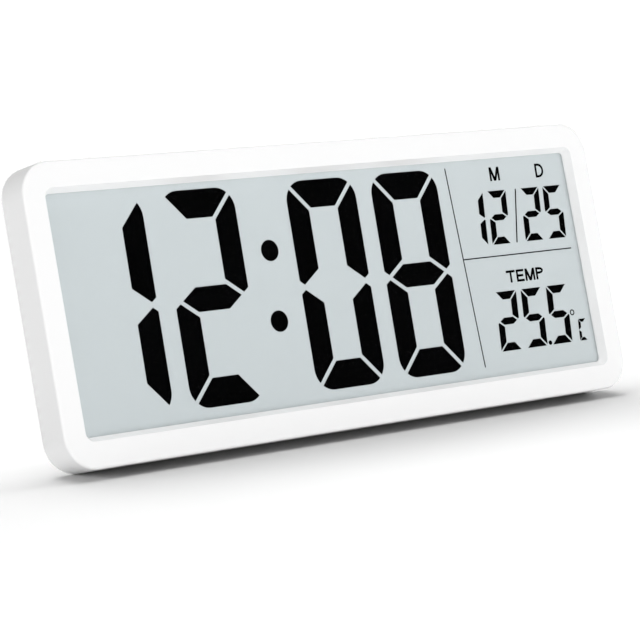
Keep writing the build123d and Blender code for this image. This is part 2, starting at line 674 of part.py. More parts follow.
def rear_cover(panel):
    """White rear moulding: flange, raised panel, stand well, battery bay, keyholes, vents, button strip."""
    flange_width = CASE_WIDTH - 2 * RIM - 2 * SLIDE
    flange_height = CASE_HEIGHT - 2 * RIM - 2 * SLIDE
    flange_corner = CASE_CORNER - RIM - SLIDE
    cover = slab(RectangleRounded(flange_width, flange_height, flange_corner), FLANGE_FRONT, SIDE_DEPTH)
    cover += panel
    hollow = RectangleRounded(
        PANEL_WIDTH - 2 * HOLLOW_INSET, PANEL_HEIGHT - 2 * HOLLOW_INSET, PANEL_CORNER - HOLLOW_INSET
    )
    cover -= narrowing(hollow, FLANGE_FRONT, PANEL_INSIDE, PANEL_TAPER)

    # Solid stock for the stand well, the door frame, the bay and the button strip
    well = block(
        -WELL_HALF - WELL_WALL, WELL_HALF + WELL_WALL, WELL_FLOOR - WELL_WALL, PANEL_BACK,
        -PANEL_HEIGHT / 2, WELL_TOP + WELL_WALL,
    )
    door_half = DOOR_HALF + TONGUE + DOOR_FRAME
    door_frame = block(
        DOOR_LEFT - DOOR_FRAME, CASE_WIDTH / 2, LEDGE_BACK - COVER_WALL, PANEL_BACK, -door_half, door_half
    )
    strip_middle = Pos((BUTTON_X[0] + BUTTON_X[-1]) / 2, BUTTON_Z)
    strip_width = BUTTON_X[-1] - BUTTON_X[0] + STRIP_HEIGHT
    backing = slab(strip_middle * Rectangle(strip_width, STRIP_HEIGHT), STRIP_INSIDE, PANEL_BACK)
    cover += (well & panel) + (door_frame & panel) + (backing & panel)
    cover += block(
        BAY_LEFT - BAY_WALL, BAY_RIGHT + BAY_WALL, BAY_FLOOR - BAY_WALL, LEDGE_BACK,
        -BAY_HALF - BAY_WALL, BAY_HALF + BAY_WALL,
    )

    # Stand well and its pivot holes
    cover -= block(-WELL_HALF, WELL_HALF, WELL_FLOOR, PANEL_BACK, -CASE_HEIGHT / 2, WELL_TOP)
    reach = WELL_HALF + WELL_WALL
    cover -= cross_rod(-reach, reach, HINGE_Y, HINGE_Z, STUB_RADIUS + RUNNING)

    # Battery bay, with a low rib between the cells and slots for the contact tabs
    cover -= block(BAY_LEFT, BAY_RIGHT, BAY_FLOOR, PANEL_BACK, -BAY_HALF, BAY_HALF)
    rib_right = BAY_RIGHT - CONTACT - FIT
    rib_half = CELL_SPACE / 4
    cover += block(BAY_LEFT, rib_right, BAY_FLOOR, BAY_FLOOR + CELL_RADIUS / 2, -rib_half, rib_half)
    cover -= door_space(SLIDE)
    for z in (-CELL_Z, CELL_Z):
        half = TAB_WIDTH / 2 + SLIDE
        cover -= block(
            BAY_LEFT - BAY_WALL, BAY_LEFT, TAB_Y - SLIDE, TAB_Y + CONTACT + SLIDE, z - half, z + half
        )

    # Button strip
    strip = RectangleRounded(strip_width, STRIP_HEIGHT, STRIP_HEIGHT / 4)
    cover -= slab(strip_middle * strip, STRIP_BACK, PANEL_BACK)
    for x in BUTTON_X:
        cover -= rod(x, BUTTON_Z, BUTTON_RADIUS + FIT, STRIP_INSIDE, STRIP_BACK)

    # Keyholes, vents and screw holes
    for x in KEYHOLE_X:
        cover -= rod(x, KEYHOLE_Z, KEYHOLE_RADIUS, PANEL_INSIDE, PANEL_BACK)
        slot = Pos(x, KEYHOLE_Z + KEYHOLE_TRAVEL / 2) * Rectangle(KEYHOLE_SLOT, KEYHOLE_TRAVEL)
        cover -= slab(slot, PANEL_INSIDE, PANEL_BACK)
        cover -= rod(x, KEYHOLE_Z + KEYHOLE_TRAVEL, KEYHOLE_SLOT / 2, PANEL_INSIDE, PANEL_BACK)
    for i in range(VENT_COUNT):
        x = SENSOR_X + (i - (VENT_COUNT - 1) / 2) * VENT_PITCH
        vent = Pos(x, SENSOR_Z) * SlotOverall(VENT_LENGTH, VENT_WIDTH, rotation=90)
        cover -= slab(vent, PANEL_INSIDE, PANEL_BACK)
    for x, z in CASE_SCREW_POINTS:
        cover -= rod(x, z, SHANK_RADIUS + FIT, FLANGE_FRONT, SIDE_DEPTH)
        cover -= rod(x, z, HEAD_RADIUS + FIT, SIDE_DEPTH - SCREW_SINK, SIDE_DEPTH)
    return cover


def cell(z, nub_left):
    """Dry cell lying along the width, its raised end to the left or the right."""
    body_length = CELL_LENGTH - NUB_LENGTH
    start = BAY_LEFT + CONTACT + (0 if nub_left else SPRING_LENGTH)
    body_left = start + (NUB_LENGTH if nub_left else 0)
    can = cross_rod(body_left, body_left + body_length, CELL_Y, z, CELL_RADIUS)
    return can + cross_rod(start, start + CELL_LENGTH, CELL_Y, z, NUB_RADIUS)


def contact_plate(left, bottom, top):
    half = CONTACT_SIZE / 2
    return block(left, left + CONTACT, CELL_Y - half, CELL_Y + half, bottom, top)


def tabbed_contact(z):
    """Contact plate at the inner end of the bay, with a solder tab through the bay wall."""
    half = CONTACT_SIZE / 2
    tab_left = BAY_LEFT - BAY_WALL - TAB_LENGTH
    tab = block(tab_left, BAY_LEFT + CONTACT, TAB_Y, TAB_Y + CONTACT, z - TAB_WIDTH / 2, z + TAB_WIDTH / 2)
    foot = block(BAY_LEFT, BAY_LEFT + CONTACT, TAB_Y, CELL_Y, z - TAB_WIDTH / 2, z + TAB_WIDTH / 2)
    return contact_plate(BAY_LEFT, z - half, z + half) + tab + foot


def spring(left, z):
    """Wound contact spring along the width, on pairs of arcs that meet in line."""
    start = left + SPRING_WIRE + HAIR
    steps = 4 * SPRING_TURNS
    points = []
    headings = []
    for i in range(steps + 1):
        turn = radians(90 * i)
        out = SPRING_RADIUS * cos(turn)
        up = SPRING_RADIUS * sin(turn)
        points.append(Vector(start + SPRING_PITCH * i / 4, CELL_Y + out, z + up))
        headings.append(Vector(SPRING_PITCH / radians(360), -up, out).normalized())
    arcs = []
    for i in range(steps):
        chord = points[i + 1] - points[i]
        both = headings[i] + headings[i + 1]
        square = 4 - both.dot(both)
        along = chord.dot(both)
        reach = (sqrt(along**2 + square * chord.dot(chord)) - along) / square
        first = points[i] + headings[i] * reach
        second = points[i + 1] - headings[i + 1] * reach
        joint = (first + second) * 0.5
        arcs.append(TangentArc(points[i], joint, tangent=headings[i]))
        arcs.append(TangentArc(joint, points[i + 1], tangent=second - first))
    path = Wire(arcs)
    return sweep(Plane(points[0], z_dir=headings[0]) * RegularPolygon(SPRING_WIRE, WIRE_SIDES), path)


def lead(z, x_end):
    """Battery lead from a contact tab to its pad on the back of the board."""
    start = BAY_LEFT - BAY_WALL - TAB_LENGTH
    level = TAB_Y + CONTACT / 2
    pad_z = BOARD_TOP - LEAD_BEND
    points = [
        (start, level, z),
        (start - 2 * LEAD_BEND, level, z),
        (x_end, level + LEAD_BEND, pad_z),
        (x_end, BOARD_BACK, pad_z),
    ]
    route = FilletPolyline(*points, radius=LEAD_BEND / 2)
    return sweep(Plane(points[0], z_dir=(-1, 0, 0)) * RegularPolygon(LEAD_RADIUS, WIRE_SIDES), route)


def screw(x, z, seat, head_radius, shank_radius, shank_length):
    """Plain-headed screw driven towards the front."""
    head = rod(x, z, head_radius, seat, seat + HEAD_HEIGHT)
    return head + rod(x, z, shank_radius, seat - shank_length, seat)


def case_screw(x, z):
    """Screw of the rear cover, with a cross recess."""
    seat = SIDE_DEPTH - SCREW_SINK
    top = seat + HEAD_HEIGHT
    fastener = screw(x, z, seat, HEAD_RADIUS, SHANK_RADIUS, SHANK_LENGTH)
    for size in ((HEAD_RADIUS, SLOT_WIDTH), (SLOT_WIDTH, HEAD_RADIUS)):
        fastener -= slab(Pos(x, z) * Rectangle(*size), top - RECESS_DEPTH, top)
    return fastener


def stand_outline(inset):
    """Upright outline of the stand from its pivot line to past the floor, drawn in by an inset."""
    top = HINGE_Z
    bottom = HINGE_Z - STAND_REACH - STAND_DEPTH
    half_top = STAND_WIDTH / 2 - inset
    half_bottom = STAND_FOOT_WIDTH / 2 - inset
    corners = [(-half_top, top), (-half_bottom, bottom), (half_bottom, bottom), (half_top, top)]
    return Polygon(*corners, align=None)


def folded_stand():
    """Stand as it lies in its well, before the foot end is cut to the floor."""
    leg = slab(stand_outline(0), STAND_FRONT, STAND_BACK)
    pocket_back = STAND_BACK - STAND_SKIN
    pocket = slab(stand_outline(STAND_RIM), STAND_FRONT, pocket_back)
    pocket_top = HINGE_Z - STAND_DEPTH
    pocket_bottom = HINGE_Z - STAND_REACH + 2 * STAND_DEPTH
    leg -= pocket & block(-STAND_WIDTH, STAND_WIDTH, STAND_FRONT, STAND_BACK, pocket_bottom, pocket_top)
    for x in (-STAND_FOOT_WIDTH / 4, 0, STAND_FOOT_WIDTH / 4):
        leg += block(x - STAND_RIB / 2, x + STAND_RIB / 2, STAND_FRONT, STAND_BACK, pocket_bottom, pocket_top)
    leg += cross_rod(-STAND_WIDTH / 2, STAND_WIDTH / 2, HINGE_Y, HINGE_Z, STAND_DEPTH / 2)
    stub_end = WELL_HALF + WELL_WALL
    leg += cross_rod(-stub_end, stub_end, HINGE_Y, HINGE_Z, STUB_RADIUS)
    heel = [(-STAND_DEPTH / 2, 0), (STAND_DEPTH / 2, 0), (STAND_DEPTH / 2, HEEL), (0, HEEL)]
    side = Plane((-HEEL_WIDTH / 2, HINGE_Y, HINGE_Z), x_dir=(0, 1, 0), z_dir=(1, 0, 0))
    return leg + extrude(side * Polygon(*heel, align=None), HEEL_WIDTH)


def floor_layer(low, high):
    """Wide level slab between two heights above the floor, in the standing clock's frame."""
    return Pos(0, 0, (low + high) / 2) * Box(2 * CASE_WIDTH, 2 * CASE_WIDTH, high - low)


panel = raised_panel()
pieces = {
    "front_case": front_case(),
    "rear_cover": rear_cover(panel),
    "time_segments": time_segments(),
    "date_segments": date_segments(),
    "temperature_segments": temperature_segments(),
    "divider_lines": divider_lines(),
    "lcd_holder": lcd_holder(),
    "main_board": main_board(),
    "switch_housings": switch_housings(),
    "battery_door": battery_door(panel),
    "upper_cell": cell(CELL_Z, True),
    "lower_cell": cell(-CELL_Z, False),
    "positive_contact": tabbed_contact(CELL_Z),
    "negative_contact": tabbed_contact(-CELL_Z),
    "bridge_contact": contact_plate(
        BAY_RIGHT - CONTACT, -CELL_Z - CONTACT_SIZE / 2, CELL_Z + CONTACT_SIZE / 2
    ),
    "contact_springs": [
        spring(BAY_LEFT + CONTACT, -CELL_Z),
        spring(BAY_RIGHT - CONTACT - SPRING_LENGTH, CELL_Z),
    ],
    "positive_lead": lead(CELL_Z, BOARD_RIGHT - 3 * LEAD_BEND),
    "negative_lead": lead(-CELL_Z, BOARD_RIGHT - LEAD_BEND),
    "case_screws": [case_screw(x, z) for x, z in CASE_SCREW_POINTS],
    "holder_screws": [
        screw(x, z, PLATE_BACK, HEAD_RADIUS, SHANK_RADIUS, PLATE_BACK - SEAT) for x, z in HOLDER_SCREW_POINTS
    ],
    "board_screws": [
        screw(x, BOARD_SCREW_Z, BOARD_BACK, BOARD_HEAD_RADIUS, BOARD_SHANK_RADIUS, BOARD_SHANK_LENGTH)
        for x in BOARD_SCREW_X
    ],
}
pieces.update(display_stack())
pieces.update(board_pieces())
for name, x in zip(BUTTON_NAMES, BUTTON_X):
    pieces[name + "_button"] = button(x)
    pieces[name + "_plunger"] = plunger(x)


def standing(piece):
    """Piece in the standing clock's frame, as one shape."""
    shape = Compound(children=piece) if isinstance(piece, list) else piece
    return LEANED * shape


nodes = {name: standing(piece) for name, piece in pieces.items()}
open_stand = LEANED * OPENED * folded_stand()
foot_end = LEANED * OPENED * slab(stand_outline(0), STAND_FRONT, STAND_BACK)
nodes["stand"] = open_stand - floor_layer(-CASE_HEIGHT, FOOT_DEPTH)
nodes["stand_foot"] = foot_end & floor_layer(0, FOOT_DEPTH)

# The box round the whole clock is centred on the origin in depth
front = nodes["front_case"].bounding_box().min.Y
back = nodes["stand_foot"].bounding_box().max.Y
CENTRED = Pos(0, -(front + back) / 2, 0)

os.makedirs("parts", exist_ok=True)
for name, shape in nodes.items():
    export_step(CENTRED * shape, "parts/" + name + ".step")


def placed(x, y, z):
    """Point of the case in the standing clock's frame, for the mounts and joints."""
    spot = (CENTRED * LEANED * Pos(x, y, z)).position
    return tuple(round(value, 3) for value in spot)


rearward = (0, round(cos(radians(LEAN)), 6), round(-sin(radians(LEAN)), 6))
print("rearward", rearward)
print("hinge", placed(0, HINGE_Y, HINGE_Z))
print("face", placed(0, 0, 0))
for x in KEYHOLE_X:
    print("keyhole", placed(x, PANEL_BACK, KEYHOLE_Z))
for name, x in zip(BUTTON_NAMES, BUTTON_X):
    print(name, placed(x, STRIP_BACK + BUTTON_PROUD, BUTTON_Z))
foot_box = (CENTRED * nodes["stand_foot"]).bounding_box()
print("foot", foot_box.min, foot_box.max)
print("spring turns lie", round(SPRING_PITCH - 2 * SPRING_WIRE, 2), "apart")
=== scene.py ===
import math

import bpy
from mathutils import Matrix, Vector


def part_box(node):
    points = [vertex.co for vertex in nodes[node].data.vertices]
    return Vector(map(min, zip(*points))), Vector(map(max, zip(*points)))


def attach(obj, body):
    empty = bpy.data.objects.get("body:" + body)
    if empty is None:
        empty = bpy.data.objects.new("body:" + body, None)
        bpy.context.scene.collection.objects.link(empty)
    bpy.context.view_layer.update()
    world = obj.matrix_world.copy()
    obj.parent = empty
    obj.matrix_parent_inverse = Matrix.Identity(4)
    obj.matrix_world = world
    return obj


# Looks of the digital wall clock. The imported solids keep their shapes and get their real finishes, the
# display gets its small printed letters, and the clock stands on a pale floor in soft studio light.

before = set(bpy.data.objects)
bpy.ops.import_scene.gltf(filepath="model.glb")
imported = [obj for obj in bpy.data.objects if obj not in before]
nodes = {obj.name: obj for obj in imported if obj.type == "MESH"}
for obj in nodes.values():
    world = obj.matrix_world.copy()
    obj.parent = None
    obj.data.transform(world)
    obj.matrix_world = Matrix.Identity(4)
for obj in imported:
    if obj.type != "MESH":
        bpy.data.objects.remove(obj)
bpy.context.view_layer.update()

# Case coordinates, in millimetres: x across, y depth behind the front plane, z up from the case's middle
LEAN = math.radians(16.0)
FACE_CENTRE = Vector((0.0, -0.016623, 0.074517))
CASE = Matrix.Translation(FACE_CENTRE) @ Matrix.Rotation(-LEAN, 4, "X") @ Matrix.Scale(0.001, 4)
GROUND_DEPTH = 5.4

# Patterns of the finishes, in millimetres
FLOW_CLOUD = 70.0
METAL_LINE = 0.8
RUBBER_STRIPE = 1.5
TRACK_PITCH = 3.0
COAT_GRAIN = 1.2
GLASS_WAVE = 40.0
GROUND_CLOUD = 160.0
SEGMENT_CLOUD = 60.0
FLOOR_CLOUD = 400.0

# Values of a cloud pattern that get its dark and its light shade, and its finer detail
CLOUD_DARK = 0.3
CLOUD_LIGHT = 0.7
FINE_DETAIL = 3.0

# Shares: how far gloss varies about its mean, and how much of a grain's slope shows
COAT_SPREAD = 0.2
METAL_SPREAD = 0.25
GRAIN_STRENGTH = 0.25

# Stretch of a metal's lines along the part's axes
ALONG_X = (0.1, 1.0, 1.0)
ALONG_Y = (1.0, 0.1, 1.0)
ALONG_Z = (1.0, 1.0, 0.05)
MOTTLED = (1.0, 1.0, 1.0)

# Block letters of the display: lengths in millimetres, then shares of a letter's width, stroke and height
LETTER_DEPTH = 0.1
LETTER_STROKE = 1.25
LETTER_SPACE = 0.9
LETTER_SLANT = 0.03
ARM_SHARE = 0.9
PEAK_STROKES = 1.2
BOWL_SHARE = 0.6
BOWL_BOTTOM = 0.45
ROUND_STEPS = 10

# Floor and room; the room's horizon heights are upward shares of a direction
FLOOR_SIZE = 40.0
ROOM_STRENGTH = 0.366
HORIZON_STRENGTH = 1.0
HORIZON_TOP = 0.10
HORIZON_FADE = 0.25

# Camera: the photograph's station, left of the front and a little above the clock
CAMERA_FROM_FACE = Vector((-0.8400, -1.0084, 0.1852))
CAMERA_FORWARD = Vector((0.6244, 0.7659, -0.1536))
CAMERA_LENS = 150.1
CAMERA_SENSOR = 36.0
CAMERA_REACH = 100.0


def colour(hex_text):
    """Linear colour of an sRGB hex value."""
    channels = [int(hex_text[i : i + 2], 16) / 255 for i in (1, 3, 5)]
    linear = [c / 12.92 if c <= 0.04045 else ((c + 0.055) / 1.055) ** 2.4 for c in channels]
    return (*linear, 1.0)


def per_mm(size):
    """Texture scale in object space, which is in metres, for a pattern of a size in millimetres."""
    return 1000.0 / size


def add(tree, kind, inputs, stops=(), **settings):
    """Adds a node with its settings. An input is a value or another node's output; a stop of a colour ramp
    is a position and an sRGB shade."""
    node = tree.nodes.new(kind)
    for name, value in settings.items():
        setattr(node, name, value)
    for socket, value in inputs.items():
        if isinstance(value, bpy.types.NodeSocket):
            tree.links.new(value, node.inputs[socket])
        else:
            node.inputs[socket].default_value = value
    for i, (position, shade) in enumerate(stops):
        marks = node.color_ramp.elements
        mark = marks[i] if i < len(marks) else marks.new(position)
        mark.position = position
        mark.color = colour(shade)
    return node


def new_material(name, **shader):
    """Material with one Principled shader; returns it with its tree, shader and object coordinates."""
    material = bpy.data.materials.new(name)
    material.use_nodes = True
    tree = material.node_tree
    tree.nodes.clear()
    surface = add(tree, "ShaderNodeBsdfPrincipled", {k.replace("_", " "): v for k, v in shader.items()})
    add(tree, "ShaderNodeOutputMaterial", {"Surface": surface.outputs["BSDF"]})
    place = add(tree, "ShaderNodeTexCoord", {}).outputs["Object"]
    return material, tree, surface, place


def clouded(tree, surface, place, size, shades=(), gloss=(), detail=2.0):
    """Soft irregular clouds of a size in millimetres: in shade, from dark to light, in gloss, or in both."""
    noise = add(tree, "ShaderNodeTexNoise", {"Vector": place, "Scale": per_mm(size), "Detail": detail})
    clouds = noise.outputs["Fac"]
    if shades:
        stops = zip((CLOUD_DARK, CLOUD_LIGHT), shades)
        ramp = add(tree, "ShaderNodeValToRGB", {"Fac": clouds}, stops)
        tree.links.new(ramp.outputs["Color"], surface.inputs["Base Color"])
    if gloss:
        low, high = gloss
        rough = add(tree, "ShaderNodeMapRange", {"Value": clouds, "To Min": low, "To Max": high})
        tree.links.new(rough.outputs["Result"], surface.inputs["Roughness"])
    return clouds


def moulded_plastic(name, dark, light, grain, depth, rough, spread):
    """Moulded ABS: faint flow clouds in the colour, and the tool's fine grain in bump and gloss."""
    material, tree, surface, place = new_material(name, IOR=1.53)
    clouded(tree, surface, place, FLOW_CLOUD, shades=(dark, light), detail=FINE_DETAIL)
    tool_marks = clouded(tree, surface, place, grain, gloss=(rough - spread, rough + spread))
    bump = add(
        tree,
        "ShaderNodeBump",
        {"Height": tool_marks, "Strength": GRAIN_STRENGTH, "Distance": depth / 1000.0},
    )
    tree.links.new(bump.outputs["Normal"], surface.inputs["Normal"])
    return material


def smooth_coat(name, dark, light, cloud, rough, ior):
    """Smooth surface with soft clouds of shade and gloss, for small pieces."""
    material, tree, surface, place = new_material(name, IOR=ior)
    gloss = (rough * (1 - COAT_SPREAD), rough * (1 + COAT_SPREAD))
    clouded(tree, surface, place, cloud, shades=(dark, light), gloss=gloss, detail=FINE_DETAIL)
    return material


def worked_metal(name, dark, light, stretch, rough):
    """Rolled, drawn or turned metal: fine lines along one direction, in shade and gloss."""
    material, tree, surface, place = new_material(name, Metallic=1.0)
    drawn_out = add(tree, "ShaderNodeMapping", {"Vector": place, "Scale": stretch}).outputs["Vector"]
    gloss = (rough * (1 - METAL_SPREAD), rough * (1 + METAL_SPREAD))
    clouded(tree, surface, drawn_out, METAL_LINE, shades=(dark, light), gloss=gloss)
    return material


def polariser_film():
    """Clear polariser film with an anti-glare coat: takes a little light and gives a soft, weak sheen."""
    look = {"Base_Color": colour("#080a0b"), "Alpha": 0.02}
    material, tree, surface, place = new_material("coated_polariser_film", **look)
    clouded(tree, surface, place, COAT_GRAIN, gloss=(0.28, 0.4))
    return material


def float_glass():
    """Thin clear float glass: almost unseen, with a sharp, slightly wavy sheen."""
    look = {"Base_Color": colour("#0b100e"), "Alpha": 0.012, "IOR": 1.52}
    material, tree, surface, place = new_material("float_glass", **look)
    clouded(tree, surface, place, GLASS_WAVE, gloss=(0.04, 0.09))
    return material


def display_ground():
    """Liquid-crystal ground in front of its reflector: cool even grey without gloss."""
    look = {"Roughness": 0.6, "Specular_IOR_Level": 0.1}
    material, tree, surface, place = new_material("liquid_crystal_ground", **look)
    clouded(tree, surface, place, GROUND_CLOUD, shades=("#ced6d8", "#d0d8da"))
    return material


def lit_segment():
    """Switched liquid crystal: deep black with no sheen of its own."""
    look = {"Roughness": 0.8, "Specular_IOR_Level": 0.0}
    material, tree, surface, place = new_material("lit_liquid_crystal", **look)
    clouded(tree, surface, place, SEGMENT_CLOUD, shades=("#010101", "#030304"))
    return material


def layered_rubber():
    """Silicone strip of thin carbon and clear layers: fine stripes, drawn coarser so that they show."""
    material, tree, surface, place = new_material("layered_silicone_rubber", Roughness=0.7, IOR=1.41)
    # A wave texture of scale 1 has this many waves in each unit of length
    waves_per_unit = 20.0 / (2 * math.pi)
    scale = per_mm(RUBBER_STRIPE) / waves_per_unit
    stripes = add(tree, "ShaderNodeTexWave", {"Vector": place, "Scale": scale}, bands_direction="X")
    layers = [(0.45, "#1c1c1f"), (0.55, "#8a8a86")]
    ramp = add(tree, "ShaderNodeValToRGB", {"Fac": stripes.outputs["Fac"]}, layers)
    tree.links.new(ramp.outputs["Color"], surface.inputs["Base Color"])
    return material


def board_laminate():
    """Solder mask over glass-fibre laminate: glossy green with lighter tracks in straight runs."""
    material, tree, surface, place = new_material("masked_glass_fibre_laminate", Roughness=0.35, IOR=1.5)
    row = 0.25
    tracks = add(
        tree,
        "ShaderNodeTexBrick",
        {
            "Vector": place,
            "Color1": colour("#145a2c"),
            "Color2": colour("#10502a"),
            "Mortar": colour("#2f8248"),
            "Scale": per_mm(TRACK_PITCH / row),
            "Row Height": row,
            "Mortar Size": 0.03,
        },
    )
    tree.links.new(tracks.outputs["Color"], surface.inputs["Base Color"])
    return material


def cell_sleeve(name, flat_end, raised_end):
    """Dry cell in a plain printed sleeve: shiny grey, a dark band towards its raised end, bare steel ends."""
    material, tree, surface, place = new_material(name, Roughness=0.3, Metallic=0.6)
    across = add(tree, "ShaderNodeSeparateXYZ", {"Vector": place}).outputs["X"]
    along = add(tree, "ShaderNodeMapRange", {"Value": across, "From Min": flat_end, "From Max": raised_end})
    # Shares of the cell's length at which the flat end, the sleeve, its dark band and the raised end start
    bands = [(0.0, "#c0c2c4"), (0.015, "#9da2a8"), (0.64, "#4a4e54"), (0.965, "#c0c2c4")]
    ramp = add(tree, "ShaderNodeValToRGB", {"Fac": along.outputs["Result"]}, bands)
    ramp.color_ramp.interpolation = "CONSTANT"
    tree.links.new(ramp.outputs["Color"], surface.inputs["Base Color"])
    return material


upper_low, upper_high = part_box("upper_cell")
lower_low, lower_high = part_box("lower_cell")
FINISH = {
    # White ABS from a spark-eroded tool: satin and almost even, with a grain drawn coarser so that it shows
    "case": moulded_plastic(
        "satin_white_abs", "#f5f5f5", "#f6f6f6", grain=0.9, depth=0.01, rough=0.42, spread=0.06
    ),
    # White ABS with the coarser tool grain of rear covers: duller than the front
    "cover": moulded_plastic(
        "grained_white_abs", "#e3e4e3", "#e8e8e7", grain=1.4, depth=0.08, rough=0.58, spread=0.08
    ),
    # Grey ABS, lightly grained: soft cool highlights on the keys
    "button": moulded_plastic(
        "grained_grey_abs", "#b4b7ba", "#bdc0c2", grain=0.9, depth=0.02, rough=0.45, spread=0.08
    ),
    # Black ABS, grained: dull and dark behind the glass
    "holder": moulded_plastic(
        "grained_black_abs", "#29292b", "#313134", grain=1.2, depth=0.02, rough=0.55, spread=0.08
    ),
    "film": polariser_film(),
    "glass": float_glass(),
    "ground": display_ground(),
    "segment": lit_segment(),
    "zebra": layered_rubber(),
    "board": board_laminate(),
    "upper_cell": cell_sleeve("upper_printed_sleeve", flat_end=upper_high[0], raised_end=upper_low[0]),
    "lower_cell": cell_sleeve("lower_printed_sleeve", flat_end=lower_low[0], raised_end=lower_high[0]),
    # Cured epoxy line: cloudy grey, half dull
    "seal": smooth_coat("cured_epoxy", "#8d9393", "#9aa0a0", cloud=6.0, rough=0.5, ior=1.55),
    # Poured black epoxy: a shiny dark drop
    "resin": smooth_coat("poured_epoxy", "#0c0c0d", "#171718", cloud=4.0, rough=0.22, ior=1.55),
    # Fired ceramic chips: dull brown
    "capacitor": smooth_coat("fired_ceramic", "#8a6a48", "#9b7a55", cloud=1.5, rough=0.6, ior=1.6),
    # Resin-dipped bead: black with a soft shine
    "sensor": smooth_coat("dipped_epoxy", "#131314", "#222224", cloud=1.0, rough=0.35, ior=1.55),
    # Black nylon mouldings: waxy and dark
    "switch": smooth_coat("moulded_black_nylon", "#18181a", "#242427", cloud=2.5, rough=0.5, ior=1.53),
    # Extruded PVC sleeves: smooth, with a soft shine along the wire
    "red_lead": smooth_coat("extruded_red_pvc", "#8e1410", "#a51b15", cloud=5.0, rough=0.4, ior=1.53),
    "black_lead": smooth_coat("extruded_black_pvc", "#131314", "#1d1d1f", cloud=5.0, rough=0.4, ior=1.53),
    # Moulded silicone rubber: matt grey, no highlight
    "foot": smooth_coat("moulded_silicone_rubber", "#8f9193", "#9c9ea0", cloud=3.0, rough=0.75, ior=1.41),
    # Rolled aluminium foil with soft grey streaks, darkened below bright foil as painted shade for the inside
    # of the case seen through the keyholes
    "reflector": worked_metal("aluminium_foil_painted_shade", "#7d7f80", "#8b8d8e", stretch=ALONG_Z, rough=0.35),
    # Drawn steel can: bright, with lines along its length
    "crystal": worked_metal("drawn_steel", "#b4b6b8", "#cfd0d1", stretch=ALONG_X, rough=0.25),
    # Nickel-plated spring steel: warm bright metal with rolling lines
    "contact": worked_metal("nickel_plated_steel", "#a9aaa8", "#c6c6c2", stretch=ALONG_Y, rough=0.3),
    # Zinc-plated screws: cool bright metal, mottled
    "screw": worked_metal("zinc_plated_steel", "#9c9fa3", "#c0c3c6", stretch=MOTTLED, rough=0.32),
}
FINISH_OF_NODE = {
    "front_case": "case",
    "rear_cover": "cover",
    "battery_door": "cover",
    "stand": "cover",
    "stand_foot": "foot",
    "lcd_front_film": "film",
    "lcd_front_glass": "glass",
    "lcd_rear_glass": "ground",
    "lcd_seal": "seal",
    "lcd_reflector": "reflector",
    "time_segments": "segment",
    "date_segments": "segment",
    "temperature_segments": "segment",
    "divider_lines": "segment",
    "lcd_holder": "holder",
    "zebra_connector": "zebra",
    "main_board": "board",
    "controller_blob": "resin",
    "timing_crystal": "crystal",
    "chip_capacitors": "capacitor",
    "thermistor": "sensor",
    "switch_housings": "switch",
    "upper_cell": "upper_cell",
    "lower_cell": "lower_cell",
    "positive_contact": "contact",
    "negative_contact": "contact",
    "bridge_contact": "contact",
    "contact_springs": "contact",
    "positive_lead": "red_lead",
    "negative_lead": "black_lead",
    "case_screws": "screw",
    "holder_screws": "screw",
    "board_screws": "screw",
}
for key in ("set", "plus", "minus", "unit"):
    FINISH_OF_NODE[key + "_button"] = "button"
    FINISH_OF_NODE[key + "_plunger"] = "switch"
for name, finish in FINISH_OF_NODE.items():
    slots = nodes[name].data.materials
    for i in range(len(slots)):
        slots[i] = FINISH[finish]


def half_round(left, reach, low, high):
    """Points of a half ellipse that bulges to the right, from its high end to its low end."""
    middle = (low + high) / 2
    rise = (high - low) / 2
    turns = [math.pi * i / ROUND_STEPS for i in range(ROUND_STEPS + 1)]
    return [(left + reach * math.sin(turn), middle + rise * math.cos(turn)) for turn in turns]


def letter_loops(letter, w, h):
    """Outlines of a block letter that is w wide and h high."""
    s = LETTER_STROKE
    if letter == "T":
        left = (w - s) / 2
        right = (w + s) / 2
        stem = [(left, h - s), (left, 0), (right, 0), (right, h - s)]
        return [[(0, h), (0, h - s)] + stem + [(w, h - s), (w, h)]]
    if letter == "E":
        low = (h - s) / 2
        high = (h + s) / 2
        arm = ARM_SHARE * w
        upper = [(0, 0), (0, h), (w, h), (w, h - s), (s, h - s), (s, high)]
        return [upper + [(arm, high), (arm, low), (s, low), (s, s), (w, s), (w, 0)]]
    if letter == "M":
        peak = PEAK_STROKES * s
        run = (w - peak) / 2
        crotch = h * (1 - s / run)
        notch = h * peak / 2 / run
        upper = [(0, 0), (0, h), (peak, h), (w / 2, notch), (w - peak, h), (w, h), (w, 0)]
        return [upper + [(w - s, 0), (w - s, crotch), (w - run, 0), (run, 0), (s, crotch), (s, 0)]]
    low = 0 if letter == "D" else BOWL_BOTTOM * h
    reach = BOWL_SHARE * w
    left = w - reach
    hole = half_round(left, reach - s, low + s, h - s) + [(s, low + s), (s, h - s)]
    if letter == "D":
        return [half_round(left, reach, 0, h) + [(0, 0), (0, h)], hole]
    return [half_round(left, reach, low, h) + [(s, low), (s, 0), (0, 0), (0, h)], hole]


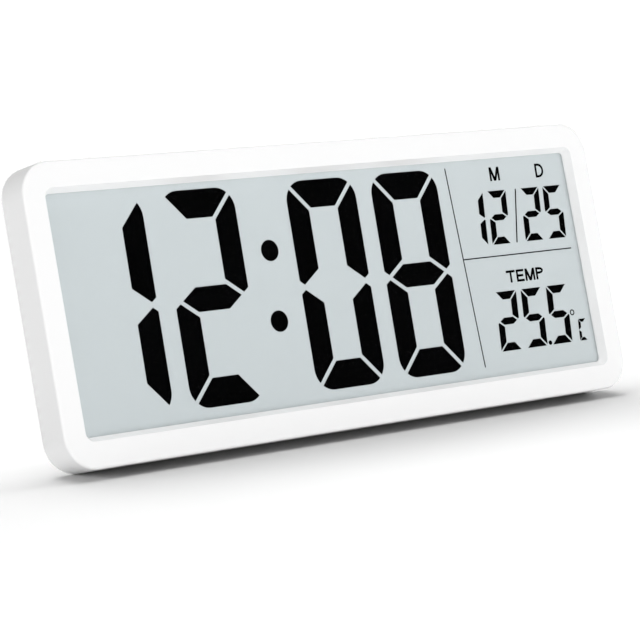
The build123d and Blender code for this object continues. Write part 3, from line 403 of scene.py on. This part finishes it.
def display_letters(name, letters, left, bottom, height):
    """Small block letters of the display, printed on the rear glass; each letter comes with its width."""
    curve = bpy.data.curves.new(name, "CURVE")
    curve.dimensions = "2D"
    curve.fill_mode = "BOTH"
    curve.extrude = LETTER_DEPTH / 2
    for letter, width in letters:
        for loop in letter_loops(letter, width, height):
            spline = curve.splines.new("POLY")
            spline.points.add(len(loop) - 1)
            for point, (x, z) in zip(spline.points, loop):
                point.co = (left + x + LETTER_SLANT * (z - height / 2), bottom + z, 0.0, 1.0)
            spline.use_cyclic_u = True
        left += width + LETTER_SPACE
    source = bpy.data.objects.new(name + "_outline", curve)
    bpy.context.collection.objects.link(source)
    bpy.context.view_layer.update()
    mesh = bpy.data.meshes.new_from_object(source.evaluated_get(bpy.context.evaluated_depsgraph_get()))
    bpy.data.objects.remove(source)
    for vertex in mesh.vertices:
        x, z, rise = vertex.co
        vertex.co = CASE @ Vector((x, GROUND_DEPTH - LETTER_DEPTH / 2 - rise, z))
    mesh.materials.clear()
    mesh.materials.append(FINISH["segment"])
    piece = bpy.data.objects.new(name, mesh)
    bpy.context.collection.objects.link(piece)
    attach(piece, "clock_case")


# The letters stand over the month, the day and the temperature, in case coordinates
temperature_word = [("T", 6.2), ("E", 5.4), ("M", 6.9), ("P", 5.4)]
display_letters("month_letter", [("M", 7.0)], left=112.1, bottom=45.15, height=7.35)
display_letters("day_letter", [("D", 6.0)], left=145.1, bottom=44.9, height=7.5)
display_letters("temperature_letters", temperature_word, left=111.1, bottom=-9.3, height=6.5)

# Floor: a plain pale sheet that fills the view; matt paint under its own lamps, which show it white
half = FLOOR_SIZE / 2
floor_mesh = bpy.data.meshes.new("floor")
floor_corners = [(-half, -half, 0), (half, -half, 0), (half, half, 0), (-half, half, 0)]
floor_mesh.from_pydata(floor_corners, [], [(0, 1, 2, 3)])
floor = bpy.data.objects.new("floor", floor_mesh)
bpy.context.collection.objects.link(floor)
floor_paint, floor_tree, floor_surface, floor_place = new_material(
    "matt_floor_paint", Roughness=0.9, Specular_IOR_Level=0.0
)
clouded(floor_tree, floor_surface, floor_place, FLOOR_CLOUD, shades=("#a0a0a0", "#a2a2a2"))
floor_mesh.materials.append(floor_paint)

# Room: dim white light from all round, at its brightest along the horizon
scene = bpy.context.scene
world = bpy.data.worlds.new("white_room")
world.use_nodes = True
room = world.node_tree
directions = add(room, "ShaderNodeTexCoord", {}).outputs["Generated"]
glow = add(
    room,
    "ShaderNodeMapRange",
    {
        "Value": add(room, "ShaderNodeSeparateXYZ", {"Vector": directions}).outputs["Z"],
        "From Min": HORIZON_TOP,
        "From Max": HORIZON_FADE,
        "To Min": HORIZON_STRENGTH,
        "To Max": ROOM_STRENGTH,
    },
)
room.nodes["Background"].inputs["Color"].default_value = colour("#ffffff")
room.links.new(glow.outputs["Result"], room.nodes["Background"].inputs["Strength"])
scene.world = world
scene.view_settings.view_transform = "Standard"


def soft_lamp(name, turn, height, spread, strength, shadows=True, floor_only=False):
    """Far soft lamp that lights the floor alone or all but the floor; its place and spread are in degrees,
    turn counted from the front towards the right and height up from the floor."""
    light = bpy.data.lights.new(name, "SUN")
    light.angle = math.radians(spread)
    light.energy = strength
    light.use_shadow = shadows
    turn = math.radians(turn)
    height = math.radians(height)
    across = math.cos(height)
    towards = Vector((math.sin(turn) * across, -math.cos(turn) * across, math.sin(height)))
    lamp = bpy.data.objects.new(name, light)
    lamp.rotation_euler = towards.to_track_quat("Z", "Y").to_euler()
    bpy.context.collection.objects.link(lamp)
    receivers = bpy.data.collections.new(name + "_receivers")
    receivers.objects.link(floor)
    receivers.collection_objects[0].light_linking.link_state = "INCLUDE" if floor_only else "EXCLUDE"
    lamp.light_linking.receiver_collection = receivers


# The clock's lamps: low in front, overhead, and low behind on the right
soft_lamp("front_lamp", turn=-15.0, height=13.0, spread=30.0, strength=0.74, shadows=False)
soft_lamp("top_lamp", turn=0.0, height=70.0, spread=30.0, strength=1.0, shadows=False)
soft_lamp("back_lamp", turn=140.0, height=15.0, spread=12.0, strength=0.8)
# The floor's lamps: a high pair behind the clock and a low pair at its ends
for side, word in ((-1, "left"), (1, "right")):
    soft_lamp(f"rear_{word}_lamp", side * 160.0, height=67.5, spread=45.0, strength=2.74, floor_only=True)
    soft_lamp(f"{word}_lamp", side * 100.0, height=13.0, spread=45.0, strength=6.5, floor_only=True)

camera_data = bpy.data.cameras.new("camera")
camera_data.sensor_width = CAMERA_SENSOR
camera_data.lens = CAMERA_LENS
camera_data.clip_end = CAMERA_REACH
camera = bpy.data.objects.new("camera", camera_data)
camera.location = FACE_CENTRE + CAMERA_FROM_FACE
camera.rotation_euler = CAMERA_FORWARD.to_track_quat("-Z", "Y").to_euler()
bpy.context.collection.objects.link(camera)
scene.camera = camera
